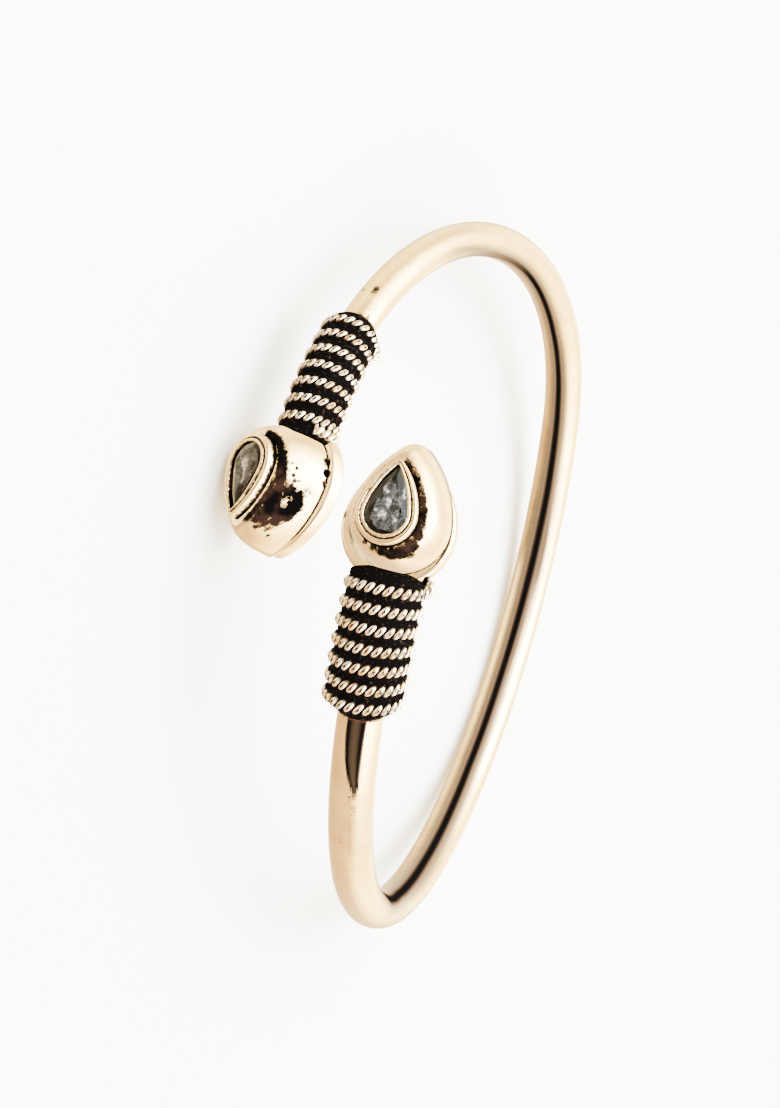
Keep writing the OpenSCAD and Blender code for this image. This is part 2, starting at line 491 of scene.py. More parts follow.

# %% [markdown]
# Soot on the hoop follows the photograph: a ragged black edge where each winding ends, and
# small faint marks on both arms, each with its angle, turn, reach and strength. A dark mark
# like a flame's tongue lies on the near arm, wide at the winding, with black borders and a
# browner middle. A soft black streak runs along the wire's inside, part tarnish and part
# painted reflection of a dark part of the room. The tables give a number by the angle round the
# hoop, and how dark the flame and the streak are by the distance from their middle.

# %% Stains and painted dark reflection on the hoop
soot_by_angle = [
    (29.4, 0.0), (29.8, 1.0), (30.6, 0.9), (31.2, 0.3), (32.2, 0.0), (331.4, 0.0), (332.2, 0.7),
    (333, 1.0), (333.4, 0.0),
]
flame_middle = [(30, 7), (35, 8), (38, 11), (41, 17), (43.4, 25)]
flame_reach = [
    (29.3, 0.5), (29.5, 25), (35, 23), (38, 20), (41, 14), (42.8, 9), (43.4, 6), (43.6, 0.5),
]
flame_dark = [(0, 0.84), (0.4, 0.87), (0.7, 0.98), (1.0, 1.0), (1.12, 0.0)]
streak_middle = [
    (70, 160), (80, 150), (85, 140), (88, 131), (94, 138), (99, 148), (108, 156), (120, 164),
    (130, 168), (140, 172), (150, 176), (170, 178), (210, 176), (230, 181), (240, 179),
    (250, 176), (258, 169), (266, 160), (274, 150), (286, 140), (292, 132), (304, 107),
]
streak_reach = [
    (88, 1.4), (110, 1.4), (130, 1.3), (150, 1.15), (175, 1.1), (195, 1.25), (220, 1.1),
    (240, 0.9), (304, 0.9),
]
streak_depth = [
    (66, 0.0), (82, 1.0), (270, 1.0), (274, 0.9), (280, 0.8), (286, 0.7), (292, 0.6),
    (298, 0.48), (304, 0.35), (312, 0.0),
]
streak_dark = [
    (0, 1.0), (4, 1.0), (7, 0.9), (10, 0.8), (13, 0.65), (16, 0.52), (20, 0.46), (26, 0.36),
    (32, 0.25), (38, 0.12), (46, 0.0),
]
marks_on_hoop = [
    (326, 7, 1.5, 0.6), (326, -35, 1.3, 0.45), (324, 19, 0.9, 0.34), (321, 22, 0.7, 0.3),
    (318.5, 31, 0.8, 0.3), (317, 34, 1.0, 0.34), (315.5, 31, 0.9, 0.32), (327, 43, 0.8, 0.3),
    (331, 37, 0.8, 0.34), (44.3, 19, 1.7, 0.38), (47, 25, 1.5, 0.35), (46, 4, 1.2, 0.3),
    (44.5, 43, 1.0, 0.32), (53.5, -5, 1.4, 0.33), (51, -8, 1.1, 0.29), (54, -23, 1.0, 0.29),
    (58.5, -5, 1.2, 0.3), (65, 40, 1.0, 0.38), (69.5, 1, 0.9, 0.32), (52, 37, 1.0, 0.31),
    (56, 25, 1.1, 0.3), (62, 28, 0.9, 0.29),
]
full_mark = 0.3  # the share of a mark's reach that has its full strength
turn_per_angle = 15  # the degrees round the wire that are about as long as one along the hoop


def spot_soot(away, reach, strength, full_share):
    """A spot's soot at a distance: its strength near its middle, and none past its reach."""
    return strength * (1 - share(away, full_share * reach, reach))


def soot_of_hoop(a, turn):
    marks = [
        spot_soot(math.hypot(a - at, (turn - turned_to) / turn_per_angle), reach, strength, full_mark)
        for at, turned_to, reach, strength in marks_on_hoop
    ]
    return max(table_value(a, soot_by_angle), *marks)


# How dark the flame and the streak are. The streak is part tarnish, part painted dark reflection.
def streak_of_hoop(a, turn):
    from_flame = abs(turn - table_value(a, flame_middle)) / table_value(a, flame_reach)
    from_streak = abs((turn - table_value(a, streak_middle) + 180) % 360 - 180)
    flame = table_value(from_flame, flame_dark)
    streak = table_value(from_streak / table_value(a, streak_reach), streak_dark)
    return max(flame, min(streak, table_value(a, streak_depth)))


print(len(marks_on_hoop), "small marks on the hoop")

# %% [markdown]
# Now the hoop itself. The round rod is stretched a little across before it is bent, and every
# point is asked for its place on the arm, which the stains' tables need.

# %% Hoop wire
hoop_sides, hoop_steps = 96, 175
hoop_cuts = (17, 17)

angles = spaced(wire_from, wire_to, hoop_steps)
points = [centre(a) for a in angles]
hoop = ringed_rod(wire_t / 2, length_of(points), hoop_sides, *hoop_cuts)
bpy.ops.transform.resize(value=(1, 1, wire_w / wire_t))
apply_place()
bend_along(hoop, points, [thickness_share(a) for a in angles])
places = [arm_place(v.co) for v in hoop.data.vertices]
mark_points(hoop, "soot", [soot_of_hoop(*place) for place in places])
# The streak number holds the flame and the painted dark reflection along the inside.
mark_points(hoop, "streak", [streak_of_hoop(*place) for place in places])
lay_down(hoop, lying)
bpy.ops.object.shade_smooth_by_angle(angle=math.radians(40))
finish_piece(hoop, "hoop", wire_metal, "polished_metal", "hoop_wire")

# %% [markdown]
# Each core's profile is a table of its radius against the angle round the hoop. The core is
# crusty and so black that only its roughest crumbs show, so it has a finish of its own.

# %% Blackened cores
core_sides, core_steps = 48, 60
core_cuts = (11, 11)
core_profiles = {
    "right": [
        (9.1, 1.9), (9.4, 2.7), (9.75, 3.15), (9.9, 3.3), (10.5, 3.35), (11.0, 3.3), (28.9, 3.25),
        (29.8, 3.0), (30.5, 2.4), (31.0, 2.05), (31.2, 1.85),
    ],
    "left": [
        (331.6, 1.6), (332.0, 1.9), (332.9, 2.35), (333.6, 2.5), (352.3, 2.5), (353.0, 2.6),
        (353.4, 2.6), (353.6, 2.5),
    ],
}
crumb_brown = (0.022, 0.014, 0.012, 1)
crust_size, crust_depth = 0.25 * mm, 0.05 * mm
glinting_crumbs, glint_strength = (0.6, 0.72), 0.5


def black_crust():
    paint = Paint(bpy.data.materials.new("blackened_core"))
    grain = paint.noise(crust_size)
    glint = grain.step(*glinting_crumbs)
    return paint.finish(
        base_color=paint.blend(glint, soot_shade_and_reflection_black, crumb_brown),
        metallic=glint * glint_strength,
        roughness=0.5,
        specular_ior_level=0.0,
        normal=paint.bump(grain * crust_depth),
    )


core_black = black_crust()
for side, profile in core_profiles.items():
    angles = spaced(profile[0][0], profile[-1][0], core_steps)
    points = [centre(a) for a in angles]
    core = ringed_rod(mm, length_of(points), core_sides, *core_cuts)
    bend_along(core, points, [table_value(a, profile) for a in angles])
    lay_down(core, lying)
    bpy.ops.object.shade_smooth_by_angle(angle=math.radians(40))
    finish_piece(core, side + "_blackened_core", core_black, "blackened_metal", side + "_core")

# %% [markdown]
# Each winding is a cord of two fine wires twisted together and wound round the arm. The twist
# is made by a Screw modifier: two small circles are swept along X while they turn round it.
# The straight cord is then bent along the winding's own path.

# %% Twisted wire
strand_sides, twist_steps = 16, 14
strand_height = 1.25


def twisted_wire(points, cord_d, pitch):
    """Two strands twisted round each other along points."""
    run = length_of(points)
    twists = round(run / pitch)
    strand_r = cord_d / 4
    nothing_selected()
    bpy.ops.mesh.primitive_circle_add(
        vertices=strand_sides, radius=strand_r, rotation=degrees(0, 90, 0)
    )
    cord = bpy.context.object
    apply_place()
    edit_all()
    bpy.ops.transform.resize(value=(1, 1, strand_height))
    bpy.ops.transform.translate(value=(0, strand_r, 0))
    bpy.ops.mesh.duplicate()
    bpy.ops.transform.translate(value=(0, -2 * strand_r, 0))
    bpy.ops.object.mode_set(mode="OBJECT")
    twist = cord.modifiers.new("twist", "SCREW")
    twist.axis = "X"
    twist.angle = -2 * math.pi
    twist.screw_offset = run / twists
    twist.iterations = twists
    twist.steps = twist.render_steps = twist_steps
    twist.use_merge_vertices = True
    apply_modifiers(cord)
    edit_all()
    bpy.ops.mesh.fill_holes(sides=0)
    turn_faces_out()
    bend_along(cord, points)
    return cord


print("a twisted wire has", 2 * strand_sides * twist_steps, "faces a twist")

# %% [markdown]
# A turn of the winding lies square to the arm in front and steps to the next at the back, as
# the photograph shows. The arm's front is where a count of turns is whole. Each cord ends in a
# short tail beside its head, which the table gives as turns, angle round the hoop and radius
# in millimetres. Soot fills the foot of the cord, and a thin painted dark reflection along each
# strand's crest makes the strands look like a row of rings.

# %% Windings
points_per_turn = 30
degrees_per_turn = 2.78
turn_ease = 0.75
windings = {
    "right": {
        "first": 11.8 + 6 * degrees_per_turn, "wound_d": 7.4 * mm, "cord_d": 1.2 * mm,
        "from": -0.3, "to": 6.2, "pitch": 1.5 * mm, "tail_before": [],
        "tail_after": [(6.24, 11.2, 3.3), (6.26, 10.7, 3.5), (6.27, 10.2, 3.6), (6.27, 9.8, 3.5)],
    },
    "left": {
        "first": 351.1, "wound_d": 5.65 * mm, "cord_d": 1.0 * mm,
        "from": -0.3, "to": 6.28, "pitch": 1.4 * mm,
        "tail_before": [
            (-0.92, 352.5, 2.8), (-0.8, 352.4, 3.05), (-0.68, 352.3, 2.85), (-0.5, 352.0, 2.35),
        ],
        "tail_after": [],
    },
}

# How high on the cord its foot's soot thins out, and where the painted dark reflection
# on the crest begins and ends
foot_fades, crest_begins, crest_ends = (0.58, 0.92), (0.93, 0.97), (1.02, 1.08)
crest_painted_reflection = 0.75


def winding_angle(t, first):
    """Angle round the hoop after t turns of a winding."""
    return first - degrees_per_turn * (t - turn_ease * math.sin(2 * math.pi * t) / (2 * math.pi))


def winding_point(t, a, radius):
    """Point on a winding after t turns."""
    turn = 2 * math.pi * t
    outward, upward = directions(a)
    return centre(a) + radius * (math.cos(turn) * outward + math.sin(turn) * upward)


def soot_and_crest_reflection_of_cord(co, radius, cord_d):
    """Soot black near the core, a painted dark reflection along each strand's crest, bright between the
    two.
    """
    a, _ = arm_place(co)
    proud = ((co - centre(a)).length - radius + cord_d / 2) / cord_d
    # The crest's dark line is a painted dark reflection.
    crest = share(proud, *crest_begins) - share(proud, *crest_ends)
    return 1.0 - share(proud, *foot_fades) + crest * crest_painted_reflection


for side, winding in windings.items():
    radius = (winding["wound_d"] - winding["cord_d"]) / 2
    first, last = winding["from"], winding["to"]
    turns = spaced(first, last, round((last - first) * points_per_turn))
    coil = [(t, winding_angle(t, winding["first"]), radius / mm) for t in turns]
    course = winding["tail_before"] + coil + winding["tail_after"]
    points = [winding_point(t, a, r * mm) for t, a, r in course]
    cord = twisted_wire(points, winding["cord_d"], winding["pitch"])
    soot = [soot_and_crest_reflection_of_cord(v.co, radius, winding["cord_d"]) for v in cord.data.vertices]
    # Here the soot number also holds each crest's painted dark reflection.
    mark_points(cord, "soot", soot)
    lay_down(cord, lying)
    bpy.ops.object.shade_smooth_by_angle(angle=math.radians(50))
    finish_piece(cord, side + "_twisted_wire", rope_metal, "antiqued_metal", side + "_rope")

# %% [markdown]
# A head starts as a flat pear-shaped disc. Its outline is two bowed flanks between a round end
# and a rounded tip. From there the rim is extruded row by row, and each new row is set to a
# pear of its own size: up the plate's edge, in to the seam, over the dome to a narrow ledge, up
# the bezel and over its rim, and down to the stone's seat. Plate, dome and bezel are soldered
# in the real thing, so they are one shell here too. A row keeps its height, its pear's round
# end, tip and rounding, its soot, and its share of the shift to the side.

# %% Pear outline
Row = namedtuple("Row", "height r tip rounding soot off")
head_lean = 10


def pear_outline(r, tip, rounding, lean, count):
    """Points of a pear whose round end lies round the origin and whose tip points along +X."""
    tilt = math.radians(lean)
    near, far = r - rounding, tip - rounding
    slope = math.sin(tilt)
    bow = (far * far + near * near - 2 * far * near * slope) / (2 * (near - far * slope))
    middle = Vector((-(bow - near) * slope, -(bow - near) * math.cos(tilt)))
    turn = math.atan2(-middle.y, far - middle.x)
    outline = []
    for i in range(count):
        v = math.pi - 2 * math.pi * (i + 0.5) / count
        face = Vector((math.cos(abs(v)), math.sin(abs(v))))
        if abs(v) >= math.pi / 2 - tilt:
            point = r * face
        elif abs(v) >= turn:
            point = middle + (bow + rounding) * face
        else:
            point = Vector((far, 0)) + rounding * face
        outline.append(Vector((point.x, math.copysign(point.y, v))))
    return outline


def set_rim(rim, row, shift):
    """Puts a ring of points on a row's pear."""
    x, y = (part * row.off for part in shift)
    for v, p in zip(rim, pear_outline(row.r, row.tip, row.rounding, head_lean, len(rim))):
        v.co = (p.x + x, p.y + y, row.height)


def pear_shell(rows, count, shift):
    """A closed shell that is extruded from one pear-shaped row to the next."""
    nothing_selected()
    bpy.ops.mesh.primitive_circle_add(vertices=count, radius=1, fill_type="NGON")
    piece = bpy.context.object
    set_rim(piece.data.vertices, rows[0], shift)
    bpy.ops.object.mode_set(mode="EDIT")
    bpy.ops.mesh.select_mode(type="FACE")
    bpy.ops.mesh.select_all(action="SELECT")
    for row in rows[1:]:
        bpy.ops.mesh.extrude_region_move()
        shape = bmesh.from_edit_mesh(piece.data)
        set_rim(sorted((v for v in shape.verts if v.select), key=lambda v: v.index), row, shift)
        bmesh.update_edit_mesh(piece.data)
    turn_faces_out()
    return piece


print("pear of", len(pear_outline(1, 2, 0.3, head_lean, 12)), "points works")

# %% [markdown]
# The rows of a head, from its back to the hollow under the stone. A quarter of an oval gives
# each rounded stretch, so an edge is a real roundness that catches the light, and not a
# painted line. Each row also says how sooty it is: the seam over the plate, the foot of the
# bezel, its groove and the wall round the stone are black. The wall round the stone is black
# with blackening and with painted shade between wall and stone. The two heads were soldered by
# hand, so a small table says how each differs: the right dome sits off the middle of its plate,
# whose shoulder is rounder, and the left head's tip is shorter.

# %% Rows of a head
plate_r, plate_tip, plate_t, tip_round = 5.05, 6.85, 1.4, 1.3
plate_edge = 0.3
dome_tip, ledge_r, ledge_tip, ledge_h = 7.0, 3.05, 5.3, 5.95
head_h = 7.0
bezel_outside, bezel_inside = (2.66, 4.78, 0.35), (1.86, 4.26, 0.15)
stone_r, stone_tip, stone_round, seat_h = 1.95, 4.15, 0.15, 6.05
smallest_round = 0.05
ledge_soot, ledge_soot_fades = 0.3, (0.03, 0.3)
outline_points, dome_rows = 128, 30
hands = {
    "right": {
        "dome_r": 4.25, "shift": (0.3, -0.42), "shoulder": (1.0, 0.45), "shorter": 0.0, "seam": 0.55,
    },
    "left": {
        "dome_r": 4.45, "shift": (0.0, 0.0), "shoulder": (1.15, 0.25), "shorter": 0.2, "seam": 0.62,
    },
}


def pear_row(height, pear, by=0.0, soot=0.0, off=0.0):
    """A row at a height, on a pear grown by some distance."""
    r, tip, rounding = pear
    return Row(height, r + by, tip + by, max(rounding + by, smallest_round), soot, off)


def arc_rows(first, last, swell, steps):
    """Rows on a quarter oval from one row to the next. Swell up leaves the first row upwards."""
    rows = []
    for i in range(1, steps + 1):
        b = math.pi / 2 * i / steps
        up, out = math.sin(b), 1 - math.cos(b)
        if swell == "out":
            up, out = out, up
        shares = (up, out, out, out, i / steps, out)
        rows.append(Row(*(f + (l - f) * s for f, l, s in zip(first, last, shares))))
    return rows


def body_rows(hand):
    """From the plate's back over its shoulder and the seam to the dome's ledge."""
    plate = (plate_r, plate_tip - hand["shorter"], tip_round)
    dome = (hand["dome_r"], dome_tip - hand["shorter"], tip_round)
    ledge = (ledge_r, ledge_tip, bezel_outside[2])
    side, shoulder = hand["shoulder"]
    rows = [pear_row(0.0, plate, -plate_edge, 0.1)]
    rows += arc_rows(rows[-1], pear_row(plate_edge, plate), "out", 5)
    rows += [pear_row(side, plate)]
    rows += arc_rows(rows[-1], pear_row(plate_t, plate, -shoulder, 0.1), "up", 7)
    rows += [
        pear_row(plate_t - 0.03, dome, 0.1, 0.2, 1),
        pear_row(plate_t - 0.1, dome, -0.02, hand["seam"], 1),
        pear_row(plate_t + 0.08, dome, -0.04, hand["seam"], 1),
        pear_row(plate_t + 0.2, dome, 0, 0.0, 1),
    ]
    for made in arc_rows(rows[-1], pear_row(ledge_h, ledge), "up", dome_rows):
        if made.height < ledge_h - 0.01:
            near = 1 - share(made.r - ledge_r, *ledge_soot_fades)
            rows.append(made._replace(soot=ledge_soot * near))
    return rows


def bezel_row(height, inwards, soot=0.0):
    """A row of the bezel, from its outside at 0 inwards to the wall round the stone at 1."""
    pear = (o + (i - o) * inwards for o, i in zip(bezel_outside, bezel_inside))
    return Row(height, *pear, soot, 0.0)


def bezel_rows():
    """From the black recess up the outer ring, over the groove and the inner rim to the seat."""
    stone = (stone_r, stone_tip, stone_round)
    rows = [
        pear_row(ledge_h, bezel_outside, 0.16, 0.2),
        pear_row(ledge_h - 0.01, bezel_outside, 0.1, 0.7),
        pear_row(ledge_h - 0.1, bezel_outside, 0.03, 1.0),
        bezel_row(ledge_h + 0.05, 0, 0.9),
        bezel_row(ledge_h + 0.22, 0, 0.6),
        bezel_row(head_h - 0.4, 0, 0.1),
    ]
    rows += arc_rows(rows[-1], bezel_row(head_h - 0.15, 0.28), "up", 5)
    rows += arc_rows(rows[-1], bezel_row(head_h - 0.27, 0.5, 0.7), "out", 4)
    rows += [bezel_row(head_h - 0.34, 0.55, 1.0), bezel_row(head_h - 0.3, 0.62, 0.8)]
    rows += arc_rows(rows[-1], bezel_row(head_h, 0.78), "up", 5)
    # Down into the wall round the stone: blackening and painted shade between wall and stone.
    rows += arc_rows(rows[-1], bezel_row(head_h - 0.13, 1, 0.6), "out", 4)
    rows += [bezel_row(head_h - 0.2, 1, 1.0), bezel_row(seat_h, 1, 1.0)]
    rows += [
        Row(seat_h, *(0.85 * size for size in stone), 1.0, 0),
        Row(seat_h - 1.4, *(0.4 * size for size in stone), 1.0, 0),
    ]
    return rows


print("rows:", len(body_rows(hands["right"])), "for the body,", len(bezel_rows()), "for the bezel")

# %% [markdown]
# Where the photograph shows black stains that don't follow a seam, round spots add soot, or
# take it away where the metal was polished bare inside a stain. Their table gives a spot's
# place on the head, its reach and its strength, in millimetres. A trail is a row of spots along
# a line of places.

# %% Stains on the heads
trail_step = 0.25
full_spot = 0.4  # the share of a spot's reach that has its full strength


def trail(places, reach, strength):
    """Spots at even steps along straight lines from place to place."""
    made = []
    for start, end in zip(places, places[1:]):
        run = Vector(end) - Vector(start)
        count = math.ceil(run.length / trail_step)
        made += [(Vector(start) + run * (i / count), reach, strength) for i in range(count)]
    return made


spots = {
    "right": [
        *trail([(4.9, -0.5, 5.9), (4.1, -1.25, 5.95), (2.6, -2.3, 5.95), (1.2, -2.85, 5.9)], 0.4, 0.78),
        *trail([(1.2, -2.85, 5.9), (-0.1, -3.05, 5.85), (-1.1, -2.95, 5.8)], 0.55, 0.68),
        ((3.6, -1.7, 5.9), 0.45, 0.75), ((2.1, -2.6, 5.9), 0.4, 0.75), ((1.0, -2.95, 5.8), 0.5, 0.75),
        ((-1.1, -2.9, 5.8), 0.7, 0.9), ((-2.0, -2.6, 5.6), 0.9, 1.0), ((-2.7, -1.9, 5.5), 1.0, 1.0),
        ((-3.0, -1.1, 5.5), 0.9, 1.0), ((-3.0, -0.3, 5.7), 0.7, 0.9), ((-2.9, 0.5, 5.9), 0.5, 0.7),
        ((-2.6, 1.3, 5.95), 0.4, 0.62), ((-2.7, -2.6, 5.0), 0.6, 0.6), ((2.4, 5.0, 0.9), 0.6, 0.5),
        ((1.2, 5.1, 0.9), 0.7, 0.7), ((0.2, 5.1, 0.9), 0.8, 0.8), ((-0.7, 5.0, 0.8), 0.6, 0.6),
        ((-3.9, -1.5, 4.4), 0.25, 0.5), ((-1.1, -3.9, 4.8), 0.2, 0.5), ((-3.5, -2.6, 3.6), 0.25, 0.5),
        ((-3.9, 0.2, 3.4), 0.3, 0.4), ((-2.9, -3.3, 4.2), 0.2, 0.5),
    ],
    "left": [
        *trail([(-2.9, 0.5, 5.95), (-2.7, 1.4, 5.9), (-2.2, 2.3, 5.85), (-1.4, 2.95, 5.8)], 0.6, 0.78),
        *trail([(-1.4, 2.95, 5.8), (-0.5, 3.3, 5.7), (0.4, 3.5, 5.6), (1.3, 3.4, 5.5)], 0.8, 0.75),
        *trail([(1.2, 3.1, 5.8), (2.9, 2.4, 5.85), (4.0, 1.7, 5.85), (4.8, 0.9, 5.85)], 0.5, 0.72),
        ((-2.4, 1.9, 5.8), 0.7, 0.9), ((-0.4, 3.3, 5.6), 0.6, 0.8), ((-0.6, 4.05, 4.6), 0.3, 0.6),
        ((0.05, 4.05, 4.75), 0.3, 0.7), ((0.5, 4.0, 4.5), 0.35, 0.7), ((0.3, 4.2, 4.1), 0.25, 0.6),
        ((-0.9, 3.8, 5.1), 0.25, 0.6), ((-0.2, 3.8, 5.0), 0.25, 0.6), ((1.5, 3.5, 5.3), 0.9, 0.85),
        ((2.2, 3.2, 5.3), 1.0, 0.9), ((3.0, 2.9, 5.2), 1.2, 0.8), ((3.8, 2.4, 5.2), 1.0, 0.75),
        ((2.6, 3.5, 4.6), 1.4, 0.85), ((1.4, 3.95, 4.4), 0.8, 0.8), ((1.6, 4.05, 3.6), 0.9, 0.8),
        ((2.4, 3.8, 3.3), 1.0, 0.9), ((3.3, 3.3, 3.6), 1.1, 0.9), ((4.1, 2.7, 4.1), 0.9, 0.8),
        ((4.5, 2.2, 4.8), 0.7, 0.75), ((3.4, 3.0, 4.4), 0.8, 0.85), ((3.9, 2.2, 5.5), 0.8, 0.85),
        ((4.4, 1.8, 5.4), 0.6, 0.8), ((3.6, 2.7, 4.9), 0.7, 0.85), ((3.1, 3.1, 4.5), 0.7, 0.85),
        ((2.3, 3.65, 4.5), 0.45, -0.55), ((2.65, 3.5, 4.35), 0.45, -0.55),
        ((5.1, 2.05, 4.2), 0.35, 0.85), ((5.4, 1.8, 3.6), 0.3, 0.75), ((5.0, 1.6, 5.0), 0.35, 0.85),
        ((5.4, 1.2, 4.7), 0.3, 0.8), ((5.0, 2.5, 3.3), 0.3, 0.8), ((4.5, 3.0, 3.0), 0.3, 0.7),
        ((5.7, 0.8, 4.4), 0.25, 0.75), ((1.0, 4.3, 2.9), 0.9, 0.33), ((-2.2, 3.9, 1.6), 0.6, 0.7),
        ((-1.2, 4.3, 1.6), 0.6, 0.8), ((-0.3, 4.45, 1.6), 0.5, 0.6),
    ],
}


def soot_of_head(co, own, spots_here):
    """A point's soot: its row's own or the strongest spot's, less what a bare spot takes away."""
    added = [
        spot_soot((co - Vector(place)).length, reach, strength, full_spot)
        for place, reach, strength in spots_here
    ]
    return min(1.0, max(own, *added) + min(0.0, *added))


print("spots:", {side: len(row) for side, row in spots.items()})

# %% [markdown]
# Both heads are built from their rows in their own millimetres, given their soot, and then
# seated on their arms, each by a turn and a move.

# %% Heads
seats = {
    "right": placing((1.37, -29.97, -0.7), (-90.5, 1.5, 178.4)),
    "left": placing((-0.24, -30.67, -10.04), (124.1, 1.6, 1.7)),
}
in_mm = Matrix.Scale(mm, 4)
for side, seat in seats.items():
    rows = body_rows(hands[side]) + bezel_rows()
    head = pear_shell(rows, outline_points, hands[side]["shift"])
    own = [row.soot for row in rows for _ in range(outline_points)]
    soot = [soot_of_head(v.co, mine, spots[side]) for v, mine in zip(head.data.vertices, own)]
    mark_points(head, "soot", soot)
    lay_down(head, lying @ seat @ in_mm)
    bpy.ops.object.shade_smooth_by_angle(angle=math.radians(35))
    finish_piece(head, side + "_head_metal", head_metal, "antiqued_metal", side + "_head")

# %% [markdown]
# The stones are pear cuts with an eight-sided table. The corners of a cut stone are easy to
# place: the table, a ring half a step on below it, the girdle, the pavilion and its culet.
# The hull of those points has flat faces between them, which are the star, kite and girdle
# facets of the real cut.

# %% Cut stone
stone_lean = 12
steps_per_corner = 16
table_h, girdle_h = 0.88, 0.42
# A ring's height over the seat, its share of the outline, its corners and its turn in steps
stone_rings = [
    (table_h, 0.6, 8, 0), (0.72, 0.82, 8, 0.5), (girdle_h, 0.985, 32, 0), (0.27, 0.985, 32, 0),
    (-0.35, 0.68, 8, 0.5), (-1.1, 0.2, 8, 0),
]


def stone_ring(height, size, count, turn):
    """A ring of corners on the stone's pear outline."""
    bpy.ops.mesh.primitive_circle_add(vertices=count, radius=1)
    ring = bpy.context.object
    fine = pear_outline(
        stone_r * size, stone_tip * size, stone_round, stone_lean, steps_per_corner * count
    )
    for i, v in enumerate(ring.data.vertices):
        p = fine[int((i + 0.5 + turn) * steps_per_corner) % len(fine)]
        v.co = (p.x, p.y, seat_h + height)
    return ring


def cut_stone():
    nothing_selected()
    rings = [stone_ring(*ring) for ring in stone_rings]
    for ring in rings:
        ring.select_set(True)
    bpy.ops.object.join()
    edit_all()
    bpy.ops.mesh.convex_hull()
    bpy.ops.mesh.select_all(action="SELECT")
    bpy.ops.mesh.dissolve_limited(angle_limit=math.radians(1))
    turn_faces_out()
    return bpy.context.object


print("a stone is cut from", len(stone_rings), "rings of corners")

# %% [markdown]
# A cut stone shows broken light and dark from inside, which a solid piece can't, so the
# photograph's pattern is painted as reflections in the stone's own millimetres: each point
# stores them as an attribute before the stone is laid down. A second number runs from 0 on the
# table to 1 at the girdle, and draws the black rim, painted shade from the bezel's wall, which
# is widest on the lower side. Marbling and worm-like threads are painted reflections made of
# noise. Each painted mark is an oval: a painted highlight where it is lighter, a painted dark
# reflection where it is darker.

# %% Stone with painted reflections
# Greys along the stone's painted light, from its darkest painted reflections to its pale threads
stone_greys = [(0.1, 0.001), (0.3, 0.006), (0.45, 0.015), (0.58, 0.032), (0.75, 0.085), (0.95, 0.4)]
swirl_inputs = {"Detail": 3.0, "Roughness": 0.65, "Distortion": 1.0}
marbled_reflection_scale, bend_scale, thread_scale = 1.5, 0.9, 1.1
marbled_reflection_light, bend_by, thread_light, thread_width = 0.9, 0.9, 0.14, (0.01, 0.04)
tip_from, tip_fades, tip_shade = 1.8, (0.0, 1.5), 0.1
mark_raggedness, mark_edge = 1.2, (0.5, 1.2)
rim_below, rim_behind, rim_raggedness, rim_edge = 0.27, 0.17, 0.4, (0.62, 0.74)


def stone_with_painted_reflections(name, ground, warmth, marks):
    """Grey glass with painted reflections: marbling, threads and marks, and a black rim of painted
    shade.
    """
    paint = Paint(bpy.data.materials.new(name))
    at = paint.stored("own_place", "Vector")

    def swirl(scale, output=0):
        inputs = {"Vector": at, "Scale": scale, **swirl_inputs}
        return paint.node("ShaderNodeTexNoise", {}, inputs, output)

    # Marbling and threads are painted reflections from inside the stone.
    marbled_reflection = swirl(marbled_reflection_scale) - 0.5
    bent = paint.parts(swirl(bend_scale, 1))
    x, y = (part + (bend - 0.5) * bend_by for part, bend in zip(paint.parts(at), bent[1:]))
    thread = swirl(thread_scale) - 0.5
    threads = 1 - (thread * thread).root().step(*thread_width)
    near_tip = (x - tip_from).step(*tip_fades)
    light = marbled_reflection * marbled_reflection_light + ground - near_tip * tip_shade + threads * thread_light
    # Painted highlights where a mark is lighter, painted dark reflections where it is darker.
    for at_x, at_y, half_x, half_y, amount in marks:
        across, up = (x - at_x) / half_x, (y - at_y) / half_y
        away = (across * across + up * up).root() + marbled_reflection * mark_raggedness
        light = light + (1 - away.step(*mark_edge)) * amount
    grey = paint.ramp(light, [(place, (g * warmth, g, g / warmth)) for place, g in stone_greys])
    # The black rim is painted shade from the bezel's wall, widest on the lower side and at the round
    # end.
    edge = paint.stored("rim") + y * rim_below + (0 - x).most(0) * rim_behind
    return paint.finish(
        base_color=paint.blend((edge + marbled_reflection * rim_raggedness).step(*rim_edge), grey, soot_shade_and_reflection_black),
        roughness=0.06,
        specular_ior_level=0.1,
    )


print("the stone's greys have", len(stone_greys), "stops")

# %% [markdown]
# Each stone has its own ground grey, its own warmth, and its own painted highlights and dark
# reflections. The right one shows many small bright and dark ones, and the left one, which is
# seen from its side, fewer.

